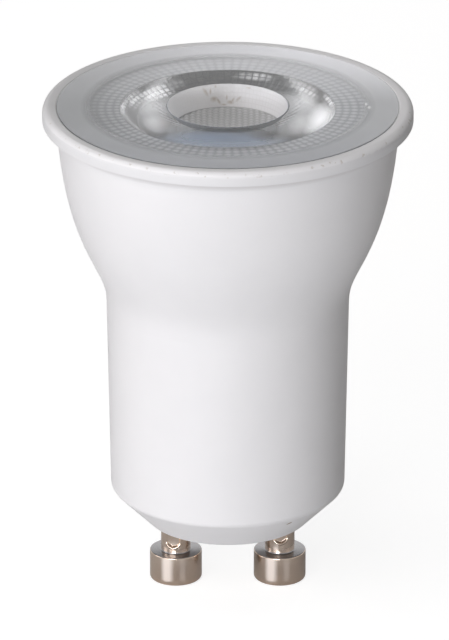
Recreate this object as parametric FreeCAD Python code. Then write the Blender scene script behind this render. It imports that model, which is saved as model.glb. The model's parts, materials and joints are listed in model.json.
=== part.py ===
import FreeCAD
import Part
import math
import os

# An LED spot lamp on a two-pin twist base, standing on its pins with the lens up.
# Millimetres. +Z is up, the origin is on the lamp's axis in the plane of the pin ends,
# and the two contact pins stand on the X axis.

# Contact pins
pin_spacing = 10.0
pin_reach = 6.85              # from the base face down to the pin ends
pin_head_diameter = 5.0
pin_head_height = 2.95
pin_head_round = 0.3
pin_head_top_round = 0.12
pin_shank_diameter = 2.85
pin_shank_fillet = 0.08
pin_hole_clearance = 0.05
pin_collar_diameter = 4.4     # staked end on the base's inner floor
pin_collar_height = 0.7
pin_socket_depth = 4.0        # blind hole for the wire, from the staked end down
dimple_width = 1.35           # crimp mark on the front of each shank
dimple_length = 2.3
dimple_depth = 0.3
left_dimple_start = 3.6
right_dimple_start = 4.05
left_pin_turn = -11.0         # degrees about the pin's own axis
right_pin_turn = 2.0

# Shell, from the base face up
base_face_radius = 7.95
base_cone_height = 3.3
foot_radius = 11.2
foot_round = 0.6
body_height = 18.8
neck_radius = 11.53
neck_ease = 4.5               # how far the body's line is felt above the neck
bowl_height = 18.4
bowl_ease = 13.4              # how far the bowl's upper line is felt below the flange
bowl_draft = 3.5              # degrees
flange_thickness = 1.3
flange_overhang = 1.3
rim_width = 1.45
rim_round = 0.65
rim_inner_round = 0.25
shell_wall = 1.2
base_floor = 1.6

# Lens
lens_radius = 16.0
lens_clearance = 0.05
lens_plate = 1.0
lens_edge_round = 0.12
lens_depth = 8.2
well_mouth_radius = 5.75
well_floor_radius = 5.15
well_depth = 2.3
collimator_top_radius = 10.1
collimator_foot_radius = 4.6
collimator_bulge = 0.8
source_cup_radius = 3.3
source_cup_draft = 0.3
source_cup_depth = 3.6
source_cup_crown = 0.6

# Heat sink and light source
sink_clearance = 0.05
sink_wall = 1.0
sink_floor = 2.0
sink_top_gap = 0.2
led_board_radius = 9.6
led_board_thickness = 1.0
led_board_gap = 0.6           # between the round board and the lens foot
led_package_side = 4.4
led_package_height = 0.7
phosphor_radius = 1.9
phosphor_crown = 0.5
screw_circle_radius = 7.6
screw_diameter = 2.0
screw_head_diameter = 3.6
screw_head_height = 1.2
screw_head_round = 0.5
screw_slot_width = 0.5
screw_slot_depth = 0.5
screw_clearance = 0.1

# Wires
wire_diameter = 0.9
wire_hole_clearance = 0.45
wire_socket_clearance = 0.05
wire_bend = 1.0
wire_tail = 0.8               # straight end on the round board
wire_gap = 0.05               # solder under a wire
led_wire_offset = 7.5         # from the axis, along X
led_pad_length = 4.0
mains_pad_length = 3.0

# Driver board and the slots that hold it
driver_board_thickness = 1.0
driver_board_lift = 0.6       # above the shell's foot
driver_board_side_gap = 0.35
slot_clearance = 0.1
slot_grip = 1.0
rib_width = 0.9
part_gap = 0.6                # between neighbours on the board

# Parts on the board's front
lead_diameter = 0.5
lead_hole_clearance = 0.1
fuse_diameter = 2.2
fuse_length = 6.0
fuse_lead_reach = 0.9
choke_diameter = 6.0
choke_height = 6.4
choke_flange = 0.9
choke_post_diameter = 3.0
choke_lead_pitch = 4.0
winding_diameter = 5.4
winding_clearance = 0.05
film_width = 7.2
film_depth = 5.0
film_height = 4.6
film_round = 0.5
film_lead_pitch = 5.0
bulk_diameter = 6.3
bulk_length = 8.0
bulk_round = 0.5
bulk_groove_height = 1.1
bulk_groove_depth = 0.3
bulk_lead_pitch = 2.5

# Parts on the board's back
bridge_width = 4.7
bridge_length = 3.9
bridge_height = 1.6
chip_width = 3.9
chip_length = 4.9
chip_height = 1.5
diode_width = 2.6
diode_length = 4.3
diode_height = 2.1
leg_thickness = 0.2
leg_reach = 0.6
resistor_length = 3.2
resistor_width = 1.6
resistor_height = 0.55
capacitor_length = 2.0
capacitor_width = 1.25
capacitor_height = 1.0

# Heights and radii that follow from the sizes above
base_height = pin_reach
foot_height = base_height + base_cone_height
neck_height = foot_height + body_height
flange_bottom = neck_height + bowl_height
lamp_length = flange_bottom + flange_thickness
floor_top = base_height + base_floor
flange_radius = lens_radius + lens_clearance + rim_width
bowl_top_radius = flange_radius - flange_overhang
ledge_height = lamp_length - lens_plate
lens_bottom = lamp_length - lens_depth
led_board_top = lens_bottom - led_board_gap
sink_floor_top = led_board_top - led_board_thickness
sink_bottom = sink_floor_top - sink_floor
sink_inset = shell_wall + sink_clearance
board_front = wire_diameter / 2 + wire_gap
board_back = board_front + driver_board_thickness
board_bottom = foot_height + driver_board_lift
mains_pad_top = board_bottom + mains_pad_length
fuse_row = mains_pad_top + part_gap + fuse_diameter / 2
middle_row_height = max(choke_diameter, film_height)
chip_row = bridge_length + 2 * leg_reach + lead_diameter + 2 * part_gap
middle_row = fuse_row + max(fuse_diameter / 2 + part_gap + middle_row_height / 2, chip_row)
bulk_row = middle_row + middle_row_height / 2 + part_gap + bulk_diameter / 2
board_top = bulk_row + bulk_diameter / 2 + part_gap
board_half_width = math.sqrt((foot_radius - shell_wall) ** 2 - board_back ** 2) - driver_board_side_gap
choke_place = (part_gap + choke_diameter) / 2
film_place = -(part_gap + film_width) / 2
led_wire_depth = board_back + wire_gap + wire_diameter / 2

up = FreeCAD.Vector(0, 0, 1)
middle = FreeCAD.Vector(0, 0, 0)


def line(start, end):
    return Part.LineSegment(start, end).toShape()


def corner_arc(before, corner, after, rounding):
    # Where a rounded corner starts and ends, and the arc between
    if rounding == 0:
        return corner, None, corner
    to_before = (before - corner).normalize()
    to_after = (after - corner).normalize()
    half = to_before.getAngle(to_after) / 2
    start = corner + to_before * (rounding / math.tan(half))
    end = corner + to_after * (rounding / math.tan(half))
    inward = (to_before + to_after).normalize()
    crest = corner + inward * (rounding / math.sin(half) - rounding)
    return start, Part.Arc(start, crest, end).toShape(), end


def chain(stops):
    edges = []
    for here, after in zip(stops, stops[1:]):
        edges.append(line(here[2], after[0]))
        if after[1]:
            edges.append(after[1])
    return edges


def turned(points):
    # Solid turned about Z from a closed outline of (radius, height, corner rounding)
    corners = [FreeCAD.Vector(radius, 0, height) for radius, height, rounding in points]
    stops = []
    for index, point in enumerate(points):
        after = corners[(index + 1) % len(points)]
        stops.append(corner_arc(corners[index - 1], corners[index], after, point[2]))
    outline = Part.Wire(chain(stops + stops[:1]))
    return Part.Face(outline).revolve(middle, up, 360)


def post(radius, low, high, x=0, y=0):
    return Part.makeCylinder(radius, high - low, FreeCAD.Vector(x, y, low))


def block(low, high):
    size = FreeCAD.Vector(*high) - FreeCAD.Vector(*low)
    return Part.makeBox(size.x, size.y, size.z, FreeCAD.Vector(*low))


def slab(low, high):
    return post(2 * flange_radius, low, high)


def bent_wire(points, bend, diameter):
    # Round wire along straight runs joined by arcs
    corners = [FreeCAD.Vector(*point) for point in points]
    stops = [(corners[0], None, corners[0])]
    for before, corner, after in zip(corners, corners[1:], corners[2:]):
        stops.append(corner_arc(before, corner, after, bend))
    stops.append((corners[-1], None, corners[-1]))
    section = Part.Wire(Part.makeCircle(diameter / 2, corners[0], corners[1] - corners[0]))
    return Part.Wire(chain(stops)).makePipeShell([section], True, False)


def shell_form(inset):
    # The lamp's outer form without its flange, drawn in by inset all round
    taper = (neck_radius - foot_radius) / body_height
    draft = math.tan(math.radians(bowl_draft))
    base_middle = FreeCAD.Vector(0, 0, base_height)
    base_edge = FreeCAD.Vector(base_face_radius - inset, 0, base_height)
    foot = FreeCAD.Vector(foot_radius - inset, 0, foot_height)
    neck = FreeCAD.Vector(neck_radius - inset, 0, neck_height)
    bowl_top = FreeCAD.Vector(bowl_top_radius - inset, 0, flange_bottom)
    rim = FreeCAD.Vector(bowl_top_radius - inset, 0, lamp_length)
    rim_middle = FreeCAD.Vector(0, 0, lamp_length)
    bowl = Part.BezierCurve()
    neck_pull = neck + FreeCAD.Vector(taper, 0, 1) * neck_ease
    bowl_pull = bowl_top - FreeCAD.Vector(draft, 0, 1) * bowl_ease
    bowl.setPoles([neck, neck_pull, bowl_pull, bowl_top])
    foot_start, foot_arc, foot_end = corner_arc(base_edge, foot, neck, foot_round)
    outline = Part.Wire([
        line(base_middle, base_edge), line(base_edge, foot_start), foot_arc,
        line(foot_end, neck), bowl.toShape(), line(bowl_top, rim),
        line(rim, rim_middle), line(rim_middle, base_middle)])
    return Part.Face(outline).revolve(middle, up, 360)


def board_slots():
    # On each side two ribs with the driver board's edge between them, and a rest below it
    rib_reach = board_half_width - slot_grip
    slot_front = board_front - slot_clearance
    slot_back = board_back + slot_clearance
    wall_side = neck_radius
    pieces = []
    for side in (-1, 1):
        near, far = sorted((side * rib_reach, side * wall_side))
        pieces.append(block((near, slot_front - rib_width, floor_top), (far, slot_front, board_top)))
        pieces.append(block((near, slot_back, floor_top), (far, slot_back + rib_width, board_top)))
        pieces.append(block((near, slot_front, floor_top), (far, slot_back, board_bottom)))
    ribs = pieces[0].multiFuse(pieces[1:])
    return ribs.common(shell_form(shell_wall / 2))


def make_housing():
    recess_radius = lens_radius + lens_clearance
    flange = turned([
        (0, flange_bottom, 0), (flange_radius, flange_bottom, 0),
        (flange_radius, lamp_length, rim_round), (recess_radius, lamp_length, rim_inner_round),
        (recess_radius, ledge_height, 0), (0, ledge_height, 0)])
    cavity = shell_form(shell_wall).common(slab(floor_top, lamp_length))
    hole_radius = pin_shank_diameter / 2 + pin_hole_clearance
    body = shell_form(0).common(slab(base_height, ledge_height))
    shell = body.fuse(flange).cut(cavity).fuse(board_slots())
    for x in (-pin_spacing / 2, pin_spacing / 2):
        shell = shell.cut(post(hole_radius, base_height, floor_top, x))
    return shell.removeSplitter()


def make_lens():
    well_floor = lamp_length - well_depth
    cup_top = lens_bottom + source_cup_depth
    plate_foot = FreeCAD.Vector(collimator_top_radius, 0, ledge_height)
    foot = FreeCAD.Vector(collimator_foot_radius, 0, lens_bottom)
    across = FreeCAD.Vector(ledge_height - lens_bottom, 0, collimator_foot_radius - collimator_top_radius)
    wall_middle = (plate_foot + foot) / 2 + across.normalize() * collimator_bulge
    cup_edge = FreeCAD.Vector(source_cup_radius - source_cup_draft, 0, cup_top)
    cup_middle = FreeCAD.Vector(0, 0, cup_top - source_cup_crown)
    crown_radius = (cup_edge.x ** 2 + source_cup_crown ** 2) / (2 * source_cup_crown)
    crown_side = cup_edge.x / 2
    crown_rise = crown_radius - math.sqrt(crown_radius ** 2 - crown_side ** 2)
    crown_point = cup_middle + FreeCAD.Vector(crown_side, 0, crown_rise)
    well_middle = FreeCAD.Vector(0, 0, well_floor)
    well_corner = FreeCAD.Vector(well_floor_radius, 0, well_floor)
    well_mouth = FreeCAD.Vector(well_mouth_radius, 0, lamp_length)
    plate_edge = FreeCAD.Vector(lens_radius, 0, lamp_length)
    plate_under = FreeCAD.Vector(lens_radius, 0, ledge_height)
    cup_mouth = FreeCAD.Vector(source_cup_radius, 0, lens_bottom)
    edge_start, edge_arc, edge_end = corner_arc(well_mouth, plate_edge, plate_under, lens_edge_round)
    outline = Part.Wire([
        line(well_middle, well_corner), line(well_corner, well_mouth),
        line(well_mouth, edge_start), edge_arc, line(edge_end, plate_under),
        line(plate_under, plate_foot), Part.Arc(plate_foot, wall_middle, foot).toShape(),
        line(foot, cup_mouth), line(cup_mouth, cup_edge),
        Part.Arc(cup_edge, crown_point, cup_middle).toShape(), line(cup_middle, well_middle)])
    return Part.Face(outline).revolve(middle, up, 360)


def make_pin(x, dimple_start, turn):
    head_radius = pin_head_diameter / 2
    shank_radius = pin_shank_diameter / 2
    collar_radius = pin_collar_diameter / 2
    socket_radius = wire_diameter / 2 + wire_socket_clearance
    collar_top = floor_top + pin_collar_height
    pin = turned([
        (0, 0, 0), (head_radius, 0, pin_head_round),
        (head_radius, pin_head_height, pin_head_top_round),
        (shank_radius, pin_head_height, pin_shank_fillet),
        (shank_radius, floor_top, 0), (collar_radius, floor_top, 0),
        (collar_radius, collar_top, 0), (socket_radius, collar_top, 0),
        (socket_radius, collar_top - pin_socket_depth, 0), (0, collar_top - pin_socket_depth, 0)])
    half = dimple_width / 2
    low = dimple_start + half
    high = dimple_start + dimple_length - half
    punch = block((-half, -head_radius, low), (half, dimple_depth - shank_radius, high))
    for height in (low, high):
        start = FreeCAD.Vector(0, -head_radius, height)
        depth = head_radius - shank_radius + dimple_depth
        punch = punch.fuse(Part.makeCylinder(half, depth, start, FreeCAD.Vector(0, 1, 0)))
    pin = pin.cut(punch.removeSplitter())
    pin.rotate(middle, up, turn)
    pin.translate(FreeCAD.Vector(x, 0, 0))
    return pin


def make_heat_sink():
    outside = shell_form(sink_inset).common(slab(sink_bottom, ledge_height - sink_top_gap))
    inside = shell_form(sink_inset + sink_wall).common(slab(sink_floor_top, lamp_length))
    sink = outside.cut(inside)
    for y in (-screw_circle_radius, screw_circle_radius):
        sink = sink.cut(post(screw_diameter / 2 + screw_clearance, sink_bottom, sink_floor_top, 0, y))
    for x in (-led_wire_offset, led_wire_offset):
        hole_radius = wire_diameter / 2 + wire_hole_clearance
        sink = sink.cut(post(hole_radius, sink_bottom, sink_floor_top, x, led_wire_depth))
    return sink


def make_led_board():
    board = post(led_board_radius, sink_floor_top, led_board_top)
    for y in (-screw_circle_radius, screw_circle_radius):
        board = board.cut(post(screw_diameter / 2 + screw_clearance, sink_floor_top, led_board_top, 0, y))
    for x in (-led_wire_offset, led_wire_offset):
        hole_radius = wire_diameter / 2 + wire_hole_clearance
        board = board.cut(post(hole_radius, sink_floor_top, led_board_top, x, led_wire_depth))
    return board


def make_led_package():
    half = led_package_side / 2
    return block((-half, -half, led_board_top), (half, half, led_board_top + led_package_height))


def make_phosphor():
    ball_radius = (phosphor_radius ** 2 + phosphor_crown ** 2) / (2 * phosphor_crown)
    seat = led_board_top + led_package_height
    ball = Part.makeSphere(ball_radius, FreeCAD.Vector(0, 0, seat + phosphor_crown - ball_radius))
    return ball.common(post(ball_radius, seat, seat + phosphor_crown))


def make_screws():
    head_radius = screw_head_diameter / 2
    head_top = led_board_top + screw_head_height
    screws = []
    for y in (-screw_circle_radius, screw_circle_radius):
        screw = turned([
            (0, sink_bottom, 0), (screw_diameter / 2, sink_bottom, 0),
            (screw_diameter / 2, led_board_top, 0), (head_radius, led_board_top, 0),
            (head_radius, head_top, screw_head_round), (0, head_top, 0)])
        slot_half = screw_slot_width / 2
        slot_low = head_top - screw_slot_depth
        screw = screw.cut(block((-head_radius, -slot_half, slot_low), (head_radius, slot_half, head_top)))
        screw.translate(FreeCAD.Vector(0, y, 0))
        screws.append(screw)
    return Part.makeCompound(screws)


def lead_places():
    # Where leads of the front parts pass through the driver board, as (x, z)
    fuse_lead = fuse_length / 2 + fuse_lead_reach
    places = [(-fuse_lead, fuse_row), (fuse_lead, fuse_row)]
    for centre, pitch, row in (
            (choke_place, choke_lead_pitch, middle_row),
            (film_place, film_lead_pitch, middle_row),
            (0, bulk_lead_pitch, bulk_row)):
        places.append((centre - pitch / 2, row))
        places.append((centre + pitch / 2, row))
    return places


def make_driver_board():
    board = block((-board_half_width, board_front, board_bottom), (board_half_width, board_back, board_top))
    hole_radius = lead_diameter / 2 + lead_hole_clearance
    through = FreeCAD.Vector(0, 1, 0)
    for x, z in lead_places():
        start = FreeCAD.Vector(x, board_front, z)
        board = board.cut(Part.makeCylinder(hole_radius, driver_board_thickness, start, through))
    return board


def on_front(part, x, z):
    # Stands a part that was modelled on the XY plane on the board's front
    part.rotate(middle, FreeCAD.Vector(1, 0, 0), 90)
    part.translate(FreeCAD.Vector(x, board_front, z))
    return part


def on_back(part, x, z):
    part.rotate(middle, FreeCAD.Vector(1, 0, 0), -90)
    part.translate(FreeCAD.Vector(x, board_back, z))
    return part


def with_leads(part, pitch):
    # Two straight leads that reach through the board to its back
    for x in (-pitch / 2, pitch / 2):
        part = part.fuse(post(lead_diameter / 2, -driver_board_thickness, 0, x))
    return part


def make_bulk_capacitor():
    radius = bulk_diameter / 2
    waist = radius - bulk_groove_depth
    groove_top = bulk_groove_height + 2 * bulk_groove_depth
    can = turned([
        (0, 0, 0), (radius, 0, bulk_groove_depth), (radius, bulk_groove_height, 0),
        (waist, bulk_groove_height + bulk_groove_depth, 0), (radius, groove_top, 0),
        (radius, bulk_length, bulk_round), (0, bulk_length, 0)])
    return on_front(with_leads(can, bulk_lead_pitch), 0, bulk_row)


def make_film_capacitor():
    half_width = film_width / 2
    half_height = film_height / 2
    case = block((-half_width, -half_height, 0), (half_width, half_height, film_depth))
    rounded = [edge for edge in case.Edges if edge.CenterOfMass.z > 0]
    case = case.makeFillet(film_round, rounded)
    return on_front(with_leads(case, film_lead_pitch), film_place, middle_row)


def make_choke_core():
    outer = choke_diameter / 2
    inner = choke_post_diameter / 2
    upper = choke_height - choke_flange
    drum = turned([
        (0, 0, 0), (outer, 0, 0), (outer, choke_flange, 0), (inner, choke_flange, 0),
        (inner, upper, 0), (outer, upper, 0), (outer, choke_height, 0), (0, choke_height, 0)])
    return on_front(with_leads(drum, choke_lead_pitch), choke_place, middle_row)


def make_choke_winding():
    low = choke_flange + winding_clearance
    high = choke_height - choke_flange - winding_clearance
    ring = post(winding_diameter / 2, low, high).cut(
        post(choke_post_diameter / 2 + winding_clearance, low, high))
    return on_front(ring, choke_place, middle_row)


def make_fuse_resistor():
    radius = fuse_diameter / 2
    half = fuse_length / 2
    start = FreeCAD.Vector(-half, board_front - radius, fuse_row)
    barrel = Part.makeCylinder(radius, fuse_length, start, FreeCAD.Vector(1, 0, 0))
    for side in (-1, 1):
        elbow = side * (half + fuse_lead_reach)
        lead = bent_wire([
            (side * half, board_front - radius, fuse_row), (elbow, board_front - radius, fuse_row),
            (elbow, board_back, fuse_row)], lead_diameter, lead_diameter)
        barrel = barrel.fuse(lead)
    return barrel


def leaded_chip(width, length, height, leg_count):
    # Moulded package with flat legs along its two long sides, lying on the XY plane
    body = block((-length / 2, -width / 2, leg_thickness), (length / 2, width / 2, height))
    pitch = length / leg_count
    for index in range(leg_count):
        x = (index - (leg_count - 1) / 2) * pitch
        low = (x - pitch / 4, -width / 2 - leg_reach, 0)
        high = (x + pitch / 4, width / 2 + leg_reach, leg_thickness)
        body = body.fuse(block(low, high))
    return body.removeSplitter()


def make_bridge_rectifier():
    place = -(part_gap + bridge_width) / 2 - leg_reach
    chip = leaded_chip(bridge_length, bridge_width, bridge_height, 2)
    return on_back(chip, place, (fuse_row + middle_row) / 2)


def make_flyback_diode():
    place = (part_gap + diode_length) / 2 + leg_reach
    chip = leaded_chip(diode_width, diode_length, diode_height, 1)
    return on_back(chip, place, (fuse_row + middle_row) / 2)


def make_driver_chip():
    chip = leaded_chip(chip_width, chip_length, chip_height, 4)
    return on_back(chip, 0, (middle_row + bulk_row) / 2)


def make_chip_resistors():
    side = chip_length / 2 + part_gap + resistor_length / 2
    lift = (part_gap + resistor_width) / 2
    half_length = resistor_length / 2
    half_width = resistor_width / 2
    resistors = []
    for x in (-side, side):
        for z in (-lift, lift):
            chip = block((-half_length, -half_width, 0), (half_length, half_width, resistor_height))
            resistors.append(on_back(chip, x, (middle_row + bulk_row) / 2 + z))
    return Part.makeCompound(resistors)


def make_chip_capacitors():
    half_length = capacitor_length / 2
    half_width = capacitor_width / 2
    capacitors = []
    for x in (-capacitor_length, capacitor_length):
        chip = block((-half_length, -half_width, 0), (half_length, half_width, capacitor_height))
        capacitors.append(on_back(chip, x, (board_bottom + mains_pad_top) / 2))
    return Part.makeCompound(capacitors)


def make_mains_wire(x):
    socket_bottom = floor_top + pin_collar_height - pin_socket_depth
    return post(wire_diameter / 2, socket_bottom, mains_pad_top, x)


def make_led_wire(side):
    lying = led_board_top + wire_gap + wire_diameter / 2
    outer = side * led_wire_offset
    inner = side * (led_wire_offset - wire_bend - wire_tail)
    return bent_wire([
        (outer, led_wire_depth, board_top - led_pad_length),
        (outer, led_wire_depth, lying), (inner, led_wire_depth, lying)], wire_bend, wire_diameter)


parts = {
    "housing": make_housing(),
    "lens": make_lens(),
    "contact_pin_left": make_pin(-pin_spacing / 2, left_dimple_start, left_pin_turn),
    "contact_pin_right": make_pin(pin_spacing / 2, right_dimple_start, right_pin_turn),
    "heat_sink": make_heat_sink(),
    "led_board": make_led_board(),
    "led_package": make_led_package(),
    "led_phosphor": make_phosphor(),
    "board_screws": make_screws(),
    "driver_board": make_driver_board(),
    "bulk_capacitor": make_bulk_capacitor(),
    "film_capacitor": make_film_capacitor(),
    "choke_core": make_choke_core(),
    "choke_winding": make_choke_winding(),
    "fuse_resistor": make_fuse_resistor(),
    "bridge_rectifier": make_bridge_rectifier(),
    "flyback_diode": make_flyback_diode(),
    "driver_chip": make_driver_chip(),
    "chip_resistors": make_chip_resistors(),
    "chip_capacitors": make_chip_capacitors(),
    "live_wire": make_mains_wire(-pin_spacing / 2),
    "neutral_wire": make_mains_wire(pin_spacing / 2),
    "led_wire_plus": make_led_wire(-1),
    "led_wire_minus": make_led_wire(1),
}

os.makedirs("parts", exist_ok=True)
for name, shape in parts.items():
    shape.exportStep("parts/%s.step" % name)
    print(name, "solids", len(shape.Solids), "volume %.2f" % shape.Volume, "valid", shape.isValid())
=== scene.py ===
import json
import math

import bmesh
import bpy
from mathutils import Matrix, Vector


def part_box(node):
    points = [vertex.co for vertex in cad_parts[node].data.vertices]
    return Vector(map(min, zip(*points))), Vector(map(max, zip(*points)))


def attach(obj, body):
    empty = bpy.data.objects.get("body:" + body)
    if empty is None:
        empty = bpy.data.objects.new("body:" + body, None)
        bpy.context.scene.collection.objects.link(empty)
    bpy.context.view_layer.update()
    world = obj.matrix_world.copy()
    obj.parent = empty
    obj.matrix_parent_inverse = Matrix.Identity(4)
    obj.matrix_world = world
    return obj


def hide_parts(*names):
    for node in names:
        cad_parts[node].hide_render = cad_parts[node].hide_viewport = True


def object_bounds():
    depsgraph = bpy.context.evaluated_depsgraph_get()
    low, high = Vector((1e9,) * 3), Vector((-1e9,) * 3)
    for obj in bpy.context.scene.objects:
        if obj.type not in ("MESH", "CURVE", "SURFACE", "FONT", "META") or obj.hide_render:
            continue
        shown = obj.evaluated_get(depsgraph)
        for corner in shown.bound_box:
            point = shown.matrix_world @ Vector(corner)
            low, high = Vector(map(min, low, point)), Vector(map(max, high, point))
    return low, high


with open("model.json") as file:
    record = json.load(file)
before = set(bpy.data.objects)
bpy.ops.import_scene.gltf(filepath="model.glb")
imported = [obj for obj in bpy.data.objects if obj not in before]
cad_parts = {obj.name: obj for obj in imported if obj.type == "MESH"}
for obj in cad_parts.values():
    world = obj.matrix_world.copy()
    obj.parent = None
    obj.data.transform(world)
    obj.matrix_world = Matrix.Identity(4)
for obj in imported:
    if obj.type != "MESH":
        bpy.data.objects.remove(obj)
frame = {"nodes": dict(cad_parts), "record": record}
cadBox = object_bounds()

mm = 0.001
turn = 2 * math.pi
fineRelief = 0.02  # mm, depth of grain and fine lines
samePlace = 1e-3  # mm, closeness that counts as the same place
print("frame loaded, nodes:", len(frame["nodes"]))


# Objects and camera
view = {
    "target": (-0.316, 0.0, 26.76),  # mm, a small step to the side of the lamp's axis
    "distance": 764.1,  # mm
    "elevation": 22.67,  # degrees above level
    "focalPixels": 8027.4,  # focal length in pixels of the 449 x 640 frame
    "frameHeight": 640,
    "sensorHeight": 36.0,
}


def addObject(name, data):
    made = bpy.data.objects.new(name, data)
    bpy.context.scene.collection.objects.link(made)
    return made


def addMesh(name, bm, material):
    mesh = bpy.data.meshes.new(name)
    bm.to_mesh(mesh)
    bm.free()
    mesh.materials.append(material)
    return addObject(name, mesh)


def addCamera():
    data = bpy.data.cameras.new("photoCamera")
    data.sensor_fit = "VERTICAL"
    data.sensor_height = view["sensorHeight"]
    data.lens = view["sensorHeight"] * view["focalPixels"] / view["frameHeight"]
    camera = addObject("photoCamera", data)
    lift = math.radians(view["elevation"])
    away = Vector((0, -math.cos(lift), math.sin(lift))) * view["distance"]
    camera.location = (Vector(view["target"]) + away) * mm
    camera.rotation_euler = (math.pi / 2 - lift, 0, 0)
    bpy.context.scene.camera = camera


# Shader helpers
def newMaterial(name):
    material = bpy.data.materials.new(name)
    material.use_nodes = True
    material.node_tree.nodes.clear()
    return material, material.node_tree


def addNode(tree, kind, **inputs):
    node = tree.nodes.new(kind)
    for name, value in inputs.items():
        node.inputs[name.replace("_", " ")].default_value = value
    return node


def join(source, target):
    target.id_data.links.new(source, target)


def setOrJoin(socket, value):
    # Sets a colour or a number on the socket, and links anything else to it
    if isinstance(value, tuple):
        socket.default_value = (*value, 1)
    elif isinstance(value, (int, float)):
        socket.default_value = value
    else:
        join(value, socket)


# Most helpers build in the tree of the socket or node that they are given
def rampValue(source, low, high, fromLow=0.0, fromHigh=1.0):
    ramp = addNode(source.id_data, "ShaderNodeMapRange",
                   From_Min=fromLow, From_Max=fromHigh, To_Min=low, To_Max=high)
    join(source, ramp.inputs["Value"])
    return ramp.outputs["Result"]


def fadeIn(source, ends):
    return rampValue(source, 0.0, 1.0, *ends)


def mixColour(mask, first, second):
    mix = mask.id_data.nodes.new("ShaderNodeMix")
    mix.data_type = "RGBA"
    join(mask, mix.inputs["Factor"])
    setOrJoin(mix.inputs[6], first)  # 6 and 7 are the two colours, 2 the mixed one
    setOrJoin(mix.inputs[7], second)
    return mix.outputs[2]


def layTones(tone, *layers):
    # Lays tones over the first one, each through its mask
    for mask, layer in layers:
        tone = mixColour(mask, tone, layer)
    return tone


def mathNode(operation, first, second=0.0):
    linked = second if isinstance(first, float) else first
    node = linked.id_data.nodes.new("ShaderNodeMath")
    node.operation = operation
    for socket, value in zip(node.inputs, (first, second)):
        setOrJoin(socket, value)
    return node.outputs[0]


def multiply(*values):
    product = values[0]
    for value in values[1:]:
        product = mathNode("MULTIPLY", product, value)
    return product


def fadeAll(axis, look, *fades):
    # Product of fades, each given by the names of a measure and of its ends
    return multiply(*(fadeIn(axis[measure], look[ends]) for measure, ends in fades))


def invert(value):
    return mathNode("SUBTRACT", 1.0, value)


def pointLength(first, second):
    squares = [multiply(value, value) for value in (first, second)]
    return mathNode("SQRT", mathNode("ADD", *squares))


def splitVector(vector):
    parts = vector.id_data.nodes.new("ShaderNodeSeparateXYZ")
    join(vector, parts.inputs[0])
    return parts.outputs


def texturePlace(tree, kind):
    return tree.nodes.new("ShaderNodeTexCoord").outputs[kind]


def newGroup(name, inputs, outputs):
    # Node group that takes a vector and some values and gives values
    group = bpy.data.node_groups.new(name, "ShaderNodeTree")
    group.interface.new_socket("Vector", in_out="INPUT", socket_type="NodeSocketVector")
    for direction, names in (("INPUT", inputs), ("OUTPUT", outputs)):
        for socketName in names:
            group.interface.new_socket(socketName, in_out=direction, socket_type="NodeSocketFloat")
    given = group.nodes.new("NodeGroupInput").outputs
    made = group.nodes.new("NodeGroupOutput").inputs
    return group, given, made


def groupNoise(group, given, scaleName, **values):
    noise = addNode(group, "ShaderNodeTexNoise", **values)
    join(given["Vector"], noise.inputs["Vector"])
    join(given[scaleName], noise.inputs["Scale"])
    return noise.outputs["Fac"]


def makeGrainGroup():
    # Fine grain over slow clouding, for moulded, sprayed and turned surfaces
    group, given, made = newGroup("fineGrain", ("Scale", "Cloud Scale"), ("Grain", "Cloud"))
    join(groupNoise(group, given, "Scale", Detail=3.0, Roughness=0.6), made["Grain"])
    join(groupNoise(group, given, "Cloud Scale", Detail=2.0, Roughness=0.6), made["Cloud"])
    return group


def makeSpeckGroup():
    # Sparse small marks: bits of dust, flash and rubbed spots
    group, given, made = newGroup("sparseSpecks", ("Scale", "Amount"), ("Mask",))
    noise = groupNoise(group, given, "Scale", Detail=4.0, Roughness=0.65)
    over = mathNode("SUBTRACT", noise, invert(given["Amount"]))
    softEdge = (0.0, 0.05)
    join(fadeIn(over, softEdge), made["Mask"])
    return group


def makeAxisGroup():
    # Distance from the lamp's axis, height above the pin ends, and place to the right and to the back, in mm
    group, given, made = newGroup("axisReach", (), ("Reach", "Height", "Across", "Along"))
    across, along, height = (multiply(part, 1 / mm) for part in splitVector(given["Vector"]))
    for source, socket in zip((pointLength(across, along), height, across, along), made):
        join(source, socket)
    return group


cellLook = {
    "dotStretch": 0.88,  # dots are longer along the radius
    "dotEdge": (0.46, 0.12),  # from a cell's middle, as a share of its width
    "squareEdge": (0.48, 0.36),
}


def makeCellGroup():
    # Cells in rings about the axis: nearness to the cell's middle, and a steady value for each cell
    group, given, made = newGroup(
        "ringCells", ("Reach", "Cells", "First Radius", "Row Growth"), ("Dot", "Square", "Shade"))
    parts = splitVector(given["Vector"])
    angle = mathNode("ARCTAN2", parts["Y"], parts["X"])
    column = multiply(mathNode("DIVIDE", angle, turn), given["Cells"])
    growth = mathNode("DIVIDE", given["Reach"], given["First Radius"])
    growths = [mathNode("LOGARITHM", value, math.e) for value in (growth, given["Row Growth"])]
    row = mathNode("DIVIDE", *growths)
    offsets = []
    for value in (column, row):
        fromMiddle = mathNode("SUBTRACT", mathNode("FRACT", value), 0.5)
        offsets.append(mathNode("ABSOLUTE", fromMiddle))
    across, along = offsets
    away = pointLength(across, multiply(along, cellLook["dotStretch"]))
    join(fadeIn(away, cellLook["dotEdge"]), made["Dot"])
    join(fadeIn(mathNode("MAXIMUM", *offsets), cellLook["squareEdge"]), made["Square"])
    index = group.nodes.new("ShaderNodeCombineXYZ")
    join(mathNode("FLOOR", column), index.inputs["X"])
    join(mathNode("FLOOR", row), index.inputs["Y"])
    noise = group.nodes.new("ShaderNodeTexWhiteNoise")
    noise.noise_dimensions = "2D"
    join(index.outputs[0], noise.inputs["Vector"])
    join(noise.outputs["Value"], made["Shade"])
    return group


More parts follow.
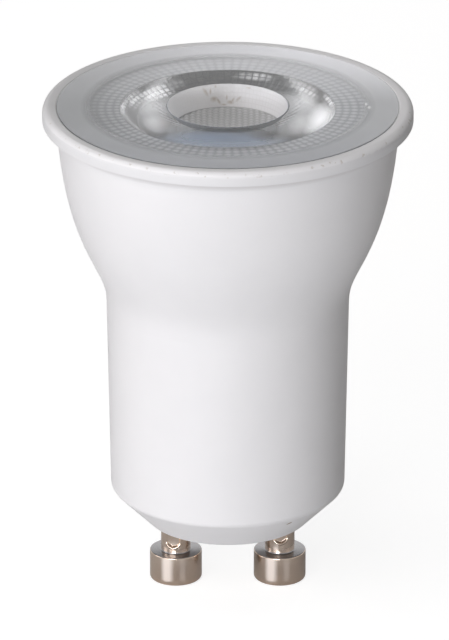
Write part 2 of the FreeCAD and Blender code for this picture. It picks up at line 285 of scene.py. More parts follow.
grainGroup = makeGrainGroup()
speckGroup = makeSpeckGroup()
axisGroup = makeAxisGroup()
cellGroup = makeCellGroup()


def placeGroup(group, vector, **values):
    node = addNode(vector.id_data, "ShaderNodeGroup")
    node.node_tree = group
    join(vector, node.inputs["Vector"])
    for name, value in values.items():
        setOrJoin(node.inputs[name.replace("_", " ")], value)
    return node.outputs


def placedMaterial(name):
    # New material with its Object coordinates and the places that follow from them
    material, tree = newMaterial(name)
    place = texturePlace(tree, "Object")
    return material, place, placeGroup(axisGroup, place)


def spotMask(place, centre, size, angle=0.0, core=0.6):
    # Soft oval spot: centre and half sizes in mm, angle in degrees about Y, share of the size that is full
    nodes = place.id_data.nodes
    shift = nodes.new("ShaderNodeVectorMath")
    shift.operation = "SUBTRACT"
    shift.inputs[1].default_value = Vector(centre) * mm
    mapping = nodes.new("ShaderNodeMapping")
    mapping.vector_type = "TEXTURE"
    mapping.inputs["Rotation"].default_value = (0, math.radians(angle), 0)
    mapping.inputs["Scale"].default_value = Vector(size) * mm
    length = nodes.new("ShaderNodeVectorMath")
    length.operation = "LENGTH"
    join(place, shift.inputs[0])
    join(shift.outputs[0], mapping.inputs["Vector"])
    join(mapping.outputs[0], length.inputs[0])
    return fadeIn(length.outputs["Value"], (1.0, core))


def addBump(height, strength=1.0, depth=fineRelief, under=None):
    bump = addNode(height.id_data, "ShaderNodeBump", Strength=strength, Distance=depth * mm)
    join(height, bump.inputs["Height"])
    if under:
        join(under, bump.inputs["Normal"])
    return bump.outputs["Normal"]


def addPrincipled(tree, sources, **inputs):
    shader = addNode(tree, "ShaderNodeBsdfPrincipled", **inputs)
    for name, source in sources.items():
        setOrJoin(shader.inputs[name], source)
    return shader


def mixShaders(mask, first, second):
    mix = mask.id_data.nodes.new("ShaderNodeMixShader")
    for socket, source in zip(mix.inputs, (mask, first.outputs[0], second.outputs[0])):
        join(source, socket)
    return mix


def addShaders(first, second):
    both = first.id_data.nodes.new("ShaderNodeAddShader")
    for socket, shader in zip(both.inputs, (first, second)):
        join(shader.outputs[0], socket)
    return both


def finishSurface(material, shader):
    output = addNode(material.node_tree, "ShaderNodeOutputMaterial")
    join(shader.outputs[0], output.inputs["Surface"])
    return material


def finishPrincipled(material, sources, **inputs):
    return finishSurface(material, addPrincipled(material.node_tree, sources, **inputs))


# Studio: pale floor, white surroundings, soft lamps
studio = {
    "ambient": 0.05,
    "ceiling": 0.10,  # brightness overhead, as glass and metal see it
    "ceilingStart": (0.40, 0.58),  # height of the view direction between the white backdrop and the ceiling
    "floorGrey": (0.76, 0.76, 0.76, 1),
    "floorSeen": (0.30, 0.30, 0.30, 1),  # how much of the shadow on the floor is seen
    "floorGlow": 0.84,
    "floorHalf": 3.0,  # m
    "lamps": {  # place in m, width and height in m, power in W, colour
        "keyFrontLeft": ((-0.325, -0.612, 0.42), 0.60, 0.60, 2.72, (1.0, 0.955, 0.93)),
        "lowFront": ((-0.207, -0.771, 0.090), 0.30, 0.12, 2.70, (0.93, 0.95, 1.0)),
        "sideLeft": ((-0.749, -0.066, 0.294), 0.40, 0.40, 1.15, (1.0, 0.97, 0.97)),
        "sideRight": ((0.70, -0.30, 0.16), 0.40, 0.30, 0.12, (1.0, 0.82, 0.70)),
        "overhead": ((-0.15, -0.05, 0.84), 0.50, 0.50, 1.60, (1.0, 1.0, 1.0)),
        "backHigh": ((0.25, 0.62, 0.46), 0.50, 0.50, 0.90, (1.0, 1.0, 1.0)),
    },
    "notMirrored": ("backHigh",),  # lamps that light the object but don't show in it or through it
    "cards": {  # bright cards before the pins that only the metal shows: edges in degrees, glow
        "bright": (-36.0, -4.0, 1.15),
        "faint": (6.0, 24.0, 0.22),
    },
    "cardColour": (0.76, 0.86, 1.0),
    "cardSoft": (0.0, 0.35),  # share of the width over which a card's edges fade in
    "cardReach": 1.0,  # mm from the head's side
    "cardLift": 0.01,  # mm over the floor
    "cardTop": 2.9,
    "headRadius": 2.5,
}


def rayMask(tree, *names):
    # One for the kinds of ray that are named
    path = tree.nodes.new("ShaderNodeLightPath")
    mask = path.outputs[names[0]]
    for name in names[1:]:
        mask = mathNode("MAXIMUM", mask, path.outputs[name])
    return mask


def addWorld():
    world = bpy.data.worlds.new("whiteStudio")
    bpy.context.scene.world = world
    world.use_nodes = True
    tree = world.node_tree
    tree.nodes.clear()
    soft = addNode(tree, "ShaderNodeBackground", Color=(1, 1, 1, 1), Strength=studio["ambient"])
    white = addNode(tree, "ShaderNodeBackground", Color=(1, 1, 1, 1))
    upward = splitVector(texturePlace(tree, "Generated"))["Z"]
    join(rampValue(upward, 1.0, studio["ceiling"], *studio["ceilingStart"]), white.inputs["Strength"])
    seen = rayMask(tree, "Is Camera Ray", "Is Glossy Ray", "Is Transmission Ray")
    output = tree.nodes.new("ShaderNodeOutputWorld")
    join(mixShaders(seen, soft, white).outputs[0], output.inputs["Surface"])


def addFlat(name, bm, material):
    flat = addMesh(name, bm, material)
    return flat


def addFloor():
    bm = bmesh.new()
    bmesh.ops.create_grid(bm, x_segments=1, y_segments=1, size=studio["floorHalf"])
    material, tree = newMaterial("palePaper")
    plain = addNode(tree, "ShaderNodeBsdfDiffuse", Color=studio["floorGrey"])
    shown = addNode(tree, "ShaderNodeBsdfDiffuse", Color=studio["floorSeen"])
    glow = addNode(tree, "ShaderNodeEmission", Strength=studio["floorGlow"])
    seen = rayMask(tree, "Is Camera Ray", "Is Transmission Ray")
    finishSurface(material, mixShaders(seen, plain, addShaders(shown, glow)))
    addFlat("studioFloor", bm, material)


def cardGlow(name, strength):
    # The back of a card is clear, so that each pin shows its own cards only
    material, tree = newMaterial(name)
    across = splitVector(texturePlace(tree, "Generated"))["X"]
    soft = rampValue(mathNode("PINGPONG", across, 0.5), 0.0, strength, *studio["cardSoft"])
    glow = addNode(tree, "ShaderNodeEmission", Color=(*studio["cardColour"], 1))
    join(soft, glow.inputs["Strength"])
    clear = tree.nodes.new("ShaderNodeBsdfTransparent")
    behind = tree.nodes.new("ShaderNodeNewGeometry").outputs["Backfacing"]
    return finishSurface(material, mixShaders(behind, addShaders(glow, clear), clear))


def addCards():
    radius = studio["headRadius"]
    reach = studio["cardReach"]
    for cardName, (left, right, strength) in studio["cards"].items():
        material = cardGlow(cardName + "Card", strength)
        for node in ("contact_pin_left", "contact_pin_right"):
            low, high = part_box(node)
            bm = bmesh.new()
            foot = []
            for edge in (math.radians(left), math.radians(right)):
                x = radius * math.sin(edge) + reach * math.sin(2 * edge)
                y = -radius * math.cos(edge) - reach * math.cos(2 * edge)
                foot.append(bm.verts.new(((low.x + high.x) / 2 + x * mm, y * mm, studio["cardLift"] * mm)))
            side = bmesh.ops.extrude_edge_only(bm, edges=[bm.edges.new(foot)])
            raised = [item for item in side["geom"] if isinstance(item, bmesh.types.BMVert)]
            bmesh.ops.translate(bm, vec=(0, 0, studio["cardTop"] * mm), verts=raised)
            for face in bm.faces:
                face.normal_update()
                if face.normal.y < 0:
                    face.normal_flip()
            card = addFlat(node + cardName, bm, material)
            for ray in ("camera", "diffuse", "transmission", "shadow"):
                setattr(card, "visible_" + ray, False)


def addLamps():
    aim = Vector((0, 0, cadBox[1].z / 2))
    for name, (place, width, height, power, colour) in studio["lamps"].items():
        data = bpy.data.lights.new(name, "AREA")
        data.shape = "RECTANGLE"
        data.size = width
        data.size_y = height
        data.energy = power
        data.color = colour
        lamp = addObject(name, data)
        lamp.location = place
        lamp.rotation_euler = (aim - Vector(place)).to_track_quat("-Z", "Y").to_euler()
        lamp.visible_glossy = lamp.visible_transmission = name not in studio["notMirrored"]


addCamera()
addWorld()
addFloor()
addCards()
addLamps()
bpy.context.scene.view_settings.view_transform = "Standard"
print("camera and studio ready")


# Materials: lengths in mm, and a pair of them is where a mask starts and where it is full
shellLook = {
    "whiteLow": (0.80, 0.798, 0.812),
    "whiteHigh": (0.845, 0.842, 0.852),
    "rough": (0.48, 0.62),
    "grainShare": 0.12,
    "nickTone": (0.65, 0.625, 0.60),
    "nickReach": (17.08, 17.18),  # nicks along the rim's edge
    "nickHeight": (48.15, 48.25),
    "scratch": ((5.84, -8.79, 9.49), (0.36, 0.60, 0.11), -25.0),
    "scratchTone": (0.30, 0.22, 0.15),
    "creaseShade": (0.62, 0.61, 0.61),  # painted shade in the corner under the flange
    "creaseHeight": (46.30, 46.90),
    "creaseTop": (47.36, 47.34),
    "creaseReach": (17.40, 17.30),
    "rimShade": (0.68, 0.68, 0.69),  # painted shade on the left and back left of the rim
    "rimShadeHeight": (48.00, 48.20),
    "rimShadeAcross": (-4.0, -13.0),
    "rimShadeAlong": (-6.0, 0.0),
    # painted shade on the flange's side
    "flangeShade": (0.745, 0.745, 0.758),
    "flangeReach": (17.42, 17.46),
    "crownReach": (16.80, 0.82),  # middle and half width of the rim's gently crowned top
    "crownRise": 0.08,
}


def shellPlastic():
    look = shellLook
    material, place, axis = placedMaterial("shellPlastic")
    grain = placeGroup(grainGroup, place, Scale=9000.0, Cloud_Scale=160.0)
    specks = placeGroup(speckGroup, place, Scale=1500.0, Amount=0.40)
    atEdge = fadeAll(axis, look, ("Reach", "nickReach"), ("Height", "nickHeight"))
    nicks = multiply(specks["Mask"], atEdge)
    scratch = spotMask(place, *look["scratch"])
    # painted shade in the corner under the flange
    crease = fadeAll(
        axis, look, ("Height", "creaseHeight"), ("Reach", "creaseReach"), ("Height", "creaseTop"))
    # painted shade on the left and back left of the rim
    backLeft = fadeAll(
        axis, look, ("Across", "rimShadeAcross"), ("Along", "rimShadeAlong"), ("Height", "rimShadeHeight"))
    # painted shade on the flange's side
    flange = fadeIn(axis["Reach"], look["flangeReach"])
    white = layTones(
        look["whiteLow"], (grain["Cloud"], look["whiteHigh"]), (crease, look["creaseShade"]),
        (flange, look["flangeShade"]), (backLeft, look["rimShade"]),
        (nicks, look["nickTone"]), (scratch, look["scratchTone"]))
    marks = mathNode("MAXIMUM", nicks, scratch)
    height = mathNode("SUBTRACT", multiply(grain["Grain"], look["grainShare"]), marks)
    middle, half = look["crownReach"]
    offset = mathNode("DIVIDE", mathNode("SUBTRACT", axis["Reach"], middle), half)
    crown = invert(mathNode("MINIMUM", multiply(offset, offset), 1.0))
    normal = addBump(crown, depth=look["crownRise"])
    return finishPrincipled(material, {
        "Base Color": white,
        "Roughness": rampValue(grain["Grain"], *look["rough"]),
        "Normal": addBump(height, under=normal)}, IOR=1.45)


lensLook = {
    "cells": 90,  # pillows around the band, and facets around the collimator
    "cellSteps": 4,  # mesh steps across one pillow
    "sharpAngle": 13,
    "bandInner": 10.1,  # mm
    "bandOuter": 14.05,
    "bandRows": 5,
    "bandCrown": 0.012,
    "plate": 1.0,
    "edgeRound": 0.01,
    "edgeFill": 0.035,  # mm, fills most of the hairline gap to the rim
    "edgeFlare": 0.08,  # mm, the upper edge leans out over the rounded rim
    "wellMouth": 5.75,
    "wellFloor": 5.15,
    "wellDepth": 2.3,
    "wallRows": 16,
    "wallCuts": 2,  # mesh cuts along one facet
    "wallFoot": 4.6,
    "wallBulge": 0.8,
    "wallCrown": 0.022,
    "cupRadius": 3.3,
    "cupMargin": 0.05,  # mm around the cup, left out of the wall
    "cupTop": 3.0,
    "cupDepth": 3.6,
    "cupCrown": 0.6,
    "cupRings": 12,
}

# rows grow with their distance from the axis, as the cells around do
bandGrowth = (lensLook["bandOuter"] / lensLook["bandInner"]) ** (1 / lensLook["bandRows"])
wallGrowth = (lensLook["bandInner"] / lensLook["wallFoot"]) ** (1 / lensLook["wallRows"])
lensLow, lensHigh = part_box("lens")
lensTop = lensHigh.z / mm


def ringCells(place, axis, growth):
    return placeGroup(cellGroup, place, Reach=axis["Reach"], Cells=lensLook["cells"],
                      First_Radius=lensLook["bandInner"], Row_Growth=growth)


clearLook = {
    "polish": 0.02,
    "footStart": (44.8, 43.8),  # the collimator is frosted below
    "footFrost": 0.55,
    "cupFrost": 0.30,  # added around the source
    "cupReach": (5.2, 4.6),
    "clearTone": (0.96, 0.97, 0.99),
    "bandEdge": (0.72, 0.73, 0.75),  # painted shade on the borders between the pillows
    "bandBottom": (47.50, 47.55),
    "bandTop": (47.80, 47.75),
    "bandInner": (10.10, 10.15),
    "bandOuter": (14.05, 13.4),
    "facetEdge": (0.45, 0.475, 0.53),  # painted shade on the borders between the facets
    "facetBottom": (44.6, 45.2),
    "facetTop": (47.55, 47.45),
    "facetReach": (5.9, 6.0),
    "facetRelief": 0.004,
    "litFacets": ((2.6, 9.0, 46.4), (2.2, 2.6, 2.4)),  # where the facets at the back catch the light
    "shadowClear": (0.80, 0.81, 0.83),
    "wellEdge": (5.75, 5.85),
    "nearTone": (0.80, 0.88, 0.98),  # painted bluish shade on the near half of the face, before the well
    "nearPlace": ((-1.6, -7.6, 48.65), (6.6, 3.4, 0.3), 0.0, 0.2),
    "nearFrost": 0.36,
    "frostPlace": ((0.0, -7.8, 48.65), (8.4, 3.6, 0.3), 0.0, 0.3),
    "smudgeTone": (0.50, 0.48, 0.48),
    "smudgePlace": ((3.9, -7.5, 48.65), (2.0, 1.5, 0.3), 0.0, 0.1),
}


def lensClear():
    look = clearLook
    material, place, axis = placedMaterial("lensClear")
    tree = material.node_tree
    foot = fadeIn(axis["Height"], look["footStart"])
    cup = multiply(foot, fadeIn(axis["Reach"], look["cupReach"]))
    # painted shade on the borders between the pillows and between the facets, for how they bend the light
    pillows = ringCells(place, axis, bandGrowth)
    facets = ringCells(place, axis, wallGrowth)
    inBand = fadeAll(
        axis, look, ("Height", "bandBottom"), ("Height", "bandTop"),
        ("Reach", "bandInner"), ("Reach", "bandOuter"))
    bandBorder = multiply(invert(pillows["Dot"]), inBand)
    onWall = fadeAll(axis, look, ("Height", "facetBottom"), ("Height", "facetTop"), ("Reach", "facetReach"))
    lit = mathNode("MAXIMUM", facets["Shade"], spotMask(place, *look["litFacets"]))
    wallBorder = multiply(invert(multiply(facets["Square"], lit)), onWall)
    # painted bluish shade on the near half of the face, which is also frosted, with a dull smudge
    outsideWell = fadeIn(axis["Reach"], look["wellEdge"])
    near = multiply(spotMask(place, *look["nearPlace"]), outsideWell)
    tint = layTones(
        look["clearTone"], (bandBorder, look["bandEdge"]), (wallBorder, look["facetEdge"]),
        (near, look["nearTone"]), (spotMask(place, *look["smudgePlace"]), look["smudgeTone"]))
    hazy = multiply(spotMask(place, *look["frostPlace"]), outsideWell)
    rough = look["polish"]
    for mask, frost in ((foot, "footFrost"), (cup, "cupFrost"), (hazy, "nearFrost")):
        rough = mathNode("ADD", multiply(mask, look[frost]), rough)
    relief = multiply(facets["Square"], onWall)
    shader = addPrincipled(tree, {
        "Base Color": tint,
        "Roughness": rough,
        "Normal": addBump(relief, depth=look["facetRelief"])}, IOR=1.49, Transmission_Weight=1.0)
    clear = addNode(tree, "ShaderNodeBsdfTransparent", Color=(*look["shadowClear"], 1))
    return finishSurface(material, mixShaders(rayMask(tree, "Is Shadow Ray"), shader, clear))


nickelLook = {
    "toneLow": (0.58, 0.47, 0.39),
    "toneHigh": (0.66, 0.55, 0.46),
    "rough": (0.16, 0.26),
    "bump": 0.20,
    "topShadeTone": (0.38, 0.37, 0.375),  # painted dark reflection on the top of the head and painted shade in the crease at the shank's foot
    "topStart": (2.90, 2.94),
    "topEnd": (3.10, 3.00),
}


def pinNickel():
    look = nickelLook
    material, place, axis = placedMaterial("pinNickel")
    grain = placeGroup(grainGroup, place, Scale=5200.0, Cloud_Scale=420.0)
    # painted reflection and shade on the head's top and at the shank's foot
    onTop = fadeAll(axis, look, ("Height", "topStart"), ("Height", "topEnd"))
    tone = mixColour(grain["Cloud"], look["toneLow"], look["toneHigh"])
    return finishPrincipled(material, {
        "Base Color": mixColour(onTop, tone, look["topShadeTone"]),
        "Roughness": rampValue(grain["Cloud"], *look["rough"]),
        "Normal": addBump(grain["Grain"], look["bump"])}, Metallic=1.0)


sinkLook = {
    "bright": (0.88, 0.885, 0.89),
    "deep": (0.22, 0.22, 0.23),
    "deepStart": (40.0, 46.0),  # painted shade in the depth of the cup
    "litPatch": (0.80, 0.80, 0.80),
    "litPatchPlace": ((4.6, 12.4, 38.85), (3.0, 3.0, 4.0)),  # painted light: a bright patch of the cup's floor, which the facets at the back show
    "lip": (0.46, 0.465, 0.475),  # matt lip under the lens
    "lipStart": (46.9, 47.2),
    "rough": (0.45, 0.60),
    "bump": 0.08,
}


def sinkAluminium():
    look = sinkLook
    material, place, axis = placedMaterial("drawnAluminium")
    grain = placeGroup(grainGroup, place, Scale=2600.0, Cloud_Scale=300.0)
    onLip = fadeIn(axis["Height"], look["lipStart"])
    # painted light on a patch of the cup's floor
    litPatch = spotMask(place, *look["litPatchPlace"])
    # painted shade in the depth of the cup
    tone = layTones(
        look["deep"], (fadeIn(axis["Height"], look["deepStart"]), look["bright"]),
        (litPatch, look["litPatch"]), (onLip, look["lip"]))
    return finishPrincipled(material, {
        "Base Color": tone,
        "Metallic": invert(mathNode("MAXIMUM", onLip, litPatch)),
        "Roughness": rampValue(grain["Grain"], *look["rough"]),
        "Normal": addBump(grain["Grain"], look["bump"])})


coatLook = {
    "grainScale": 2600.0,
    "cloudScale": 300.0,
    "roughSpread": 0.07,
    "bump": 0.08,
}


def coated(name, dark, light, rough, metallic=0.0):
    # Plain finish with grain and slow clouding, for the parts inside
    look = coatLook
    material, tree = newMaterial(name)
    grain = placeGroup(grainGroup, texturePlace(tree, "Object"),
                       Scale=look["grainScale"], Cloud_Scale=look["cloudScale"])
    spread = look["roughSpread"]
    return finishPrincipled(material, {
        "Base Color": mixColour(grain["Cloud"], dark, light),
        "Roughness": rampValue(grain["Grain"], rough - spread, rough + spread),
        "Normal": addBump(grain["Grain"], look["bump"])}, Metallic=metallic)


# Thin frosted skins within the lens
skinLook = {
    "ior": 1.3,
    "rough": 0.6,
    "acrossFrom": (-14.0, 14.0),  # where the painted light and shade change from left to right, to the front and to the back
    "frontFrom": (-4.0, -14.0),
    "backFrom": (1.0, 14.0),
}


def sideShading(axis, tones):
    # Painted light and shade: slow change of tone from side to side of the lens
    toRight = fadeIn(axis["Across"], skinLook["acrossFrom"])
    toFront = fadeIn(axis["Along"], skinLook["frontFrom"])
    toBack = fadeIn(axis["Along"], skinLook["backFrom"])
    back = mixColour(toRight, tones["backLeft"], tones["backRight"])
    return layTones(tones["left"], (toRight, tones["right"]), (toFront, tones["front"]), (toBack, back))


def finishSkin(material, tone, alpha, rough=skinLook["rough"], **inputs):
    sources = {"Base Color": tone, "Alpha": alpha, "Roughness": rough}
    return finishPrincipled(material, sources, IOR=skinLook["ior"], **inputs)


ringLook = {
    # painted light and shade of the frosted ring, darkest on the left and brightest at the back right
    "left": (0.285, 0.29, 0.295),
    "right": (0.40, 0.405, 0.41),
    "front": (0.40, 0.407, 0.421),
    "backLeft": (0.40, 0.40, 0.408),
    "backRight": (0.88, 0.88, 0.90),
    "rough": (0.55, 0.70),
    "fade": (12.70, 14.00),  # from the axis, where the frosting sets in
    "gateTone": (0.78, 0.78, 0.78),
    "gateShare": 0.6,
    "gateMarks": (((13.00, 0.35, 48.5), (0.20, 0.50, 0.5)), ((13.30, -0.50, 48.5), (0.20, 0.50, 0.5))),
}


def ringFrost():
    look = ringLook
    material, place, axis = placedMaterial("ringFrost")
    grain = placeGroup(grainGroup, place, Scale=6000.0, Cloud_Scale=250.0)
    gate = mathNode("MAXIMUM", *(spotMask(place, *mark) for mark in look["gateMarks"]))
    tone = mixColour(gate, sideShading(axis, look), look["gateTone"])
    fade = fadeIn(axis["Reach"], look["fade"])
    fade = mathNode("MAXIMUM", fade, multiply(gate, look["gateShare"]))
    return finishSkin(material, tone, fade, rampValue(grain["Grain"], *look["rough"]))


nearShadeLook = {
    # painted bluish shade, with a darker smudge
    "tone": (0.300, 0.345, 0.420),
    "share": 0.60,
    "smudgeTone": (0.13, 0.13, 0.14),
    "smudgePlace": ((4.2, -7.6, 48.57), (2.6, 1.9, 0.5), 0.0, 0.1),
    "nearShadePlace": ((-0.6, -10.2, 48.57), (7.4, 4.2, 0.5), 0.0, 0.5),
    "wellEdge": (6.3, 7.4),  # from the axis, where the haze sets in
    "bandEdge": ((0.0, -0.72, 48.57), (10.25, 10.25, 5.0), 0.0, 0.95),  # the band as the plate shows it
    "middle": (-0.6, -8.6),  # oval patch under the lens face
    "half": (7.6, 2.6),
    "below": 0.06,
    "thick": 0.04,
    "steps": 96,
}


def nearShadeSkin():
    look = nearShadeLook
    material, place, axis = placedMaterial("nearShadeSkin")
    whole = multiply(
        spotMask(place, *look["nearShadePlace"]), fadeIn(axis["Reach"], look["wellEdge"]),
        spotMask(place, *look["bandEdge"]))
    smudge = spotMask(place, *look["smudgePlace"])
    tone = mixColour(smudge, look["tone"], look["smudgeTone"])
    return finishSkin(material, tone, multiply(whole, look["share"]))


bandLook = {
    # painted light and shade: tones from side to side, bright dots in the pillows' middles and dark gaps
    # between them
    "left": (0.275, 0.28, 0.288),
    "right": (0.485, 0.494, 0.51),
    "front": (0.585, 0.594, 0.615),
    "backLeft": (0.55, 0.555, 0.565),
    "backRight": (0.93, 0.93, 0.95),
    "dotTone": (0.80, 0.80, 0.81),
    "dotShare": 0.32,
    "gapTone": (0.12, 0.13, 0.15),
    "gapShare": 0.36,  # painted shade between the pillows
    "gapEnd": 0.5,  # nearness to a pillow's middle at which the gap ends
    "alpha": 0.84,
    "dotEnd": (14.10, 12.60),  # from the axis, plain outside
    "leftCalm": (-9.5, -13.0),  # the dots grow fainter to the left and to the back
    "leftShare": 0.55,
    "backCalm": (2.0, 12.0),
    "backShare": 0.45,
}


def bandFrost():
    look = bandLook
    material, place, axis = placedMaterial("bandFrost")
    dots = ringCells(place, axis, bandGrowth)["Dot"]
    shown = multiply(
        rampValue(axis["Along"], 1.0, look["backShare"], *look["backCalm"]),
        fadeIn(axis["Reach"], look["dotEnd"]),
        rampValue(axis["Across"], 1.0, look["leftShare"], *look["leftCalm"]))
    gap = multiply(rampValue(dots, look["gapShare"], 0.0, 0.0, look["gapEnd"]), shown)
    dot = multiply(dots, look["dotShare"], shown)
    tone = layTones(sideShading(axis, look), (gap, look["gapTone"]), (dot, look["dotTone"]))
    return finishSkin(material, tone, look["alpha"])


glintLook = {
    "tone": (0.93, 0.93, 0.94),
    "glow": 0.45,  # stands for the lamp that the facets mirror
    "fullest": 0.95,
    "dullest": 0.45,  # share of the light on the dullest facet
    "squareCore": 0.1,
    "squares": (  # facets that catch the light: middle and half sizes, strength
        ((-6.6, 5.8, 45.3), (2.2, 2.6, 1.8), 1.25),
        ((-8.7, 3.2, 46.2), (1.6, 2.8, 1.8), 0.60),
        ((-5.2, 7.7, 45.9), (1.6, 1.6, 1.2), 0.25),
        ((2.7, 9.2, 46.55), (2.5, 1.4, 1.0), 0.56),
        ((7.2, 6.2, 46.1), (2.6, 3.0, 1.5), 0.38),
        ((9.6, 2.2, 47.0), (1.4, 2.6, 1.4), 0.50),
        ((-9.5, 1.2, 47.0), (1.2, 2.4, 1.2), 0.55),
    ),
    "patches": (  # painted smooth highlights
        ((8.45, -0.3, 44.7), (2.9, 3.8, 2.9), 0.75),
        ((-8.5, 1.0, 44.8), (2.8, 4.6, 3.6), 0.06),
        ((-7.0, 3.6, 43.7), (2.8, 3.8, 2.6), 0.28),
        ((6.8, 4.3, 43.9), (2.8, 3.8, 2.4), 0.28),
        ((-6.9, 0.8, 42.6), (2.6, 3.4, 1.9), 0.26),
        ((6.7, 0.8, 42.6), (2.6, 3.4, 1.9), 0.22),
    ),
}


def glintFrost():
    look = glintLook
    material, place, axis = placedMaterial("glintFrost")
    facets = ringCells(place, axis, wallGrowth)
    shape = multiply(mathNode("ADD", facets["Square"], facets["Dot"]), 0.5)
    shine = multiply(shape, rampValue(facets["Shade"], look["dullest"], 1.0))
    alpha = 0.0
    for kind, core, pattern in (("squares", look["squareCore"], shine), ("patches", 0.0, 1.0)):
        for middle, size, strength in look[kind]:
            lit = multiply(spotMask(place, middle, size, core=core), strength, pattern)
            alpha = mathNode("MAXIMUM", alpha, lit)
    alpha = mathNode("MINIMUM", alpha, look["fullest"])
    return finishSkin(material, look["tone"], alpha,
                      Emission_Color=(*look["tone"], 1), Emission_Strength=look["glow"])


collarLook = {
    # painted shade: a dark band around the front of the well, fainter towards the back
    "tone": (0.065, 0.075, 0.095),
    "leftTone": (0.10, 0.118, 0.155),
    "leftFrom": (-1.0, -5.0),
    "alphaFront": 0.95,
    "alphaBack": 0.15,
    "fade": (-3.0, 2.0),  # from the front of the well to its back
}


def collarShade():
    look = collarLook
    material, place, axis = placedMaterial("collarShade")
    toLeft = fadeIn(axis["Across"], look["leftFrom"])
    alpha = rampValue(axis["Along"], look["alphaFront"], look["alphaBack"], *look["fade"])
    return finishSkin(material, mixColour(toLeft, look["tone"], look["leftTone"]), alpha)


frostLook = {
    "wallTone": (0.84, 0.845, 0.87),
    "wallDark": (0.72, 0.72, 0.73),
    "floorFront": (0.645, 0.65, 0.66),
    "floorBack": (0.48, 0.485, 0.49),
    "floorFrom": (3.0, -4.0),  # from back to front
    "floorDepth": (2.15, 2.05),  # below the lens face, from the floor's domes to the wall
    "rough": (0.14, 0.42),  # floor and wall
    "lipTone": (0.26, 0.29, 0.34),
    "lipDepth": (0.10, 0.03),  # painted shade on the front edge of the mouth
    "lipPlace": (2.0, 0.0),  # fades out towards the back
    "facets": 90,
    "rowHeight": 0.42,
    "lineEdge": (0.14, 0.03),  # from a facet's border, as a share of its width
    "lineShare": 0.4,
    "lineBump": 0.6,
    "stains": (  # middle and half sizes, turn in degrees, on the back of the wall
        ((-2.12, 4.9, 48.05), (0.20, 1.2, 0.62), -30.0),
        ((-1.65, 5.1, 48.05), (0.13, 1.2, 0.36), 0.0),
        ((-1.32, 5.1, 47.30), (0.42, 1.2, 0.34), 0.0),
        ((-0.85, 5.1, 47.05), (0.16, 1.2, 0.50), -35.0),
        ((-1.18, 5.4, 48.44), (0.13, 0.8, 0.18), 0.0),
        ((-0.38, 5.3, 46.75), (0.36, 1.2, 0.11), 0.0),
        ((-0.10, 5.3, 47.40), (0.12, 1.2, 0.30), 0.0),
        ((0.24, 5.3, 46.95), (0.44, 1.2, 0.24), 0.0),
        ((0.48, 5.3, 47.16), (0.14, 1.2, 0.36), 30.0),
        ((0.98, 5.3, 47.28), (0.17, 1.2, 0.44), 45.0),
        ((1.95, 5.3, 48.40), (0.30, 0.9, 0.09), 0.0),
    ),
    "stainCore": 0.15,
    "stainTone": (0.38, 0.32, 0.25),
    "stainShares": (0.35, 0.75),  # faintest and fullest
    "stainCloud": (0.35, 0.60),
    "topShadeTone": (0.58, 0.58, 0.585),  # painted shade on the upper edge of the wall
    "topDepth": (1.0, 0.1),
    "topPlace": (4.5, 0.5),  # fades towards the right
    "topRest": 0.2,
    "shadeTone": (0.69, 0.69, 0.695),  # left of the wall
    "shadePlace": (2.2, -0.8),
    "glow": (0.20, 0.20, 0.205),  # light that comes through the left of the wall
    "glowPlace": (-1.0, -5.5),
}


def wellFrost():
    look = frostLook
    material, place, axis = placedMaterial("wellFrost")
    across = axis["Across"]
    along = axis["Along"]
    depth = mathNode("SUBTRACT", lensTop, axis["Height"])
    angle = mathNode("ARCTAN2", along, across)
    column = mathNode("PINGPONG", multiply(angle, look["facets"] / turn), 0.5)
    row = mathNode("PINGPONG", mathNode("DIVIDE", axis["Height"], look["rowHeight"]), 0.5)
    lines = fadeIn(mathNode("MINIMUM", column, row), look["lineEdge"])
    onWall = fadeIn(depth, look["floorDepth"])
    stains = 0.0
    for stain in look["stains"]:
        stains = mathNode("MAXIMUM", stains, spotMask(place, *stain, core=look["stainCore"]))
    grain = placeGroup(grainGroup, place, Scale=5000.0, Cloud_Scale=2200.0)
    cloudy = rampValue(grain["Cloud"], *look["stainShares"], *look["stainCloud"])
    # painted shade on the upper edge of the wall, fading towards the right
    toLeft = rampValue(across, look["topRest"], 1.0, *look["topPlace"])
    upper = multiply(fadeIn(depth, look["topDepth"]), toLeft)
    wall = layTones(
        look["wallTone"], (multiply(lines, look["lineShare"]), look["wallDark"]), (upper, look["topShadeTone"]),
        (fadeIn(across, look["shadePlace"]), look["shadeTone"]),
        (multiply(stains, cloudy), look["stainTone"]))
    toFront = fadeIn(along, look["floorFrom"])
    # painted shade on the front edge of the mouth
    lip = multiply(fadeIn(depth, look["lipDepth"]), fadeIn(along, look["lipPlace"]))
    glowing = multiply(fadeIn(across, look["glowPlace"]), onWall)
    return finishPrincipled(material, {
        "Base Color": layTones(
            look["floorBack"], (toFront, look["floorFront"]), (onWall, wall), (lip, look["lipTone"])),
        "Emission Color": mixColour(glowing, (0.0, 0.0, 0.0), look["glow"]),
        "Roughness": rampValue(onWall, *look["rough"]),
        "Normal": addBump(multiply(lines, onWall), look["lineBump"])},
        IOR=1.49, Emission_Strength=1.0)


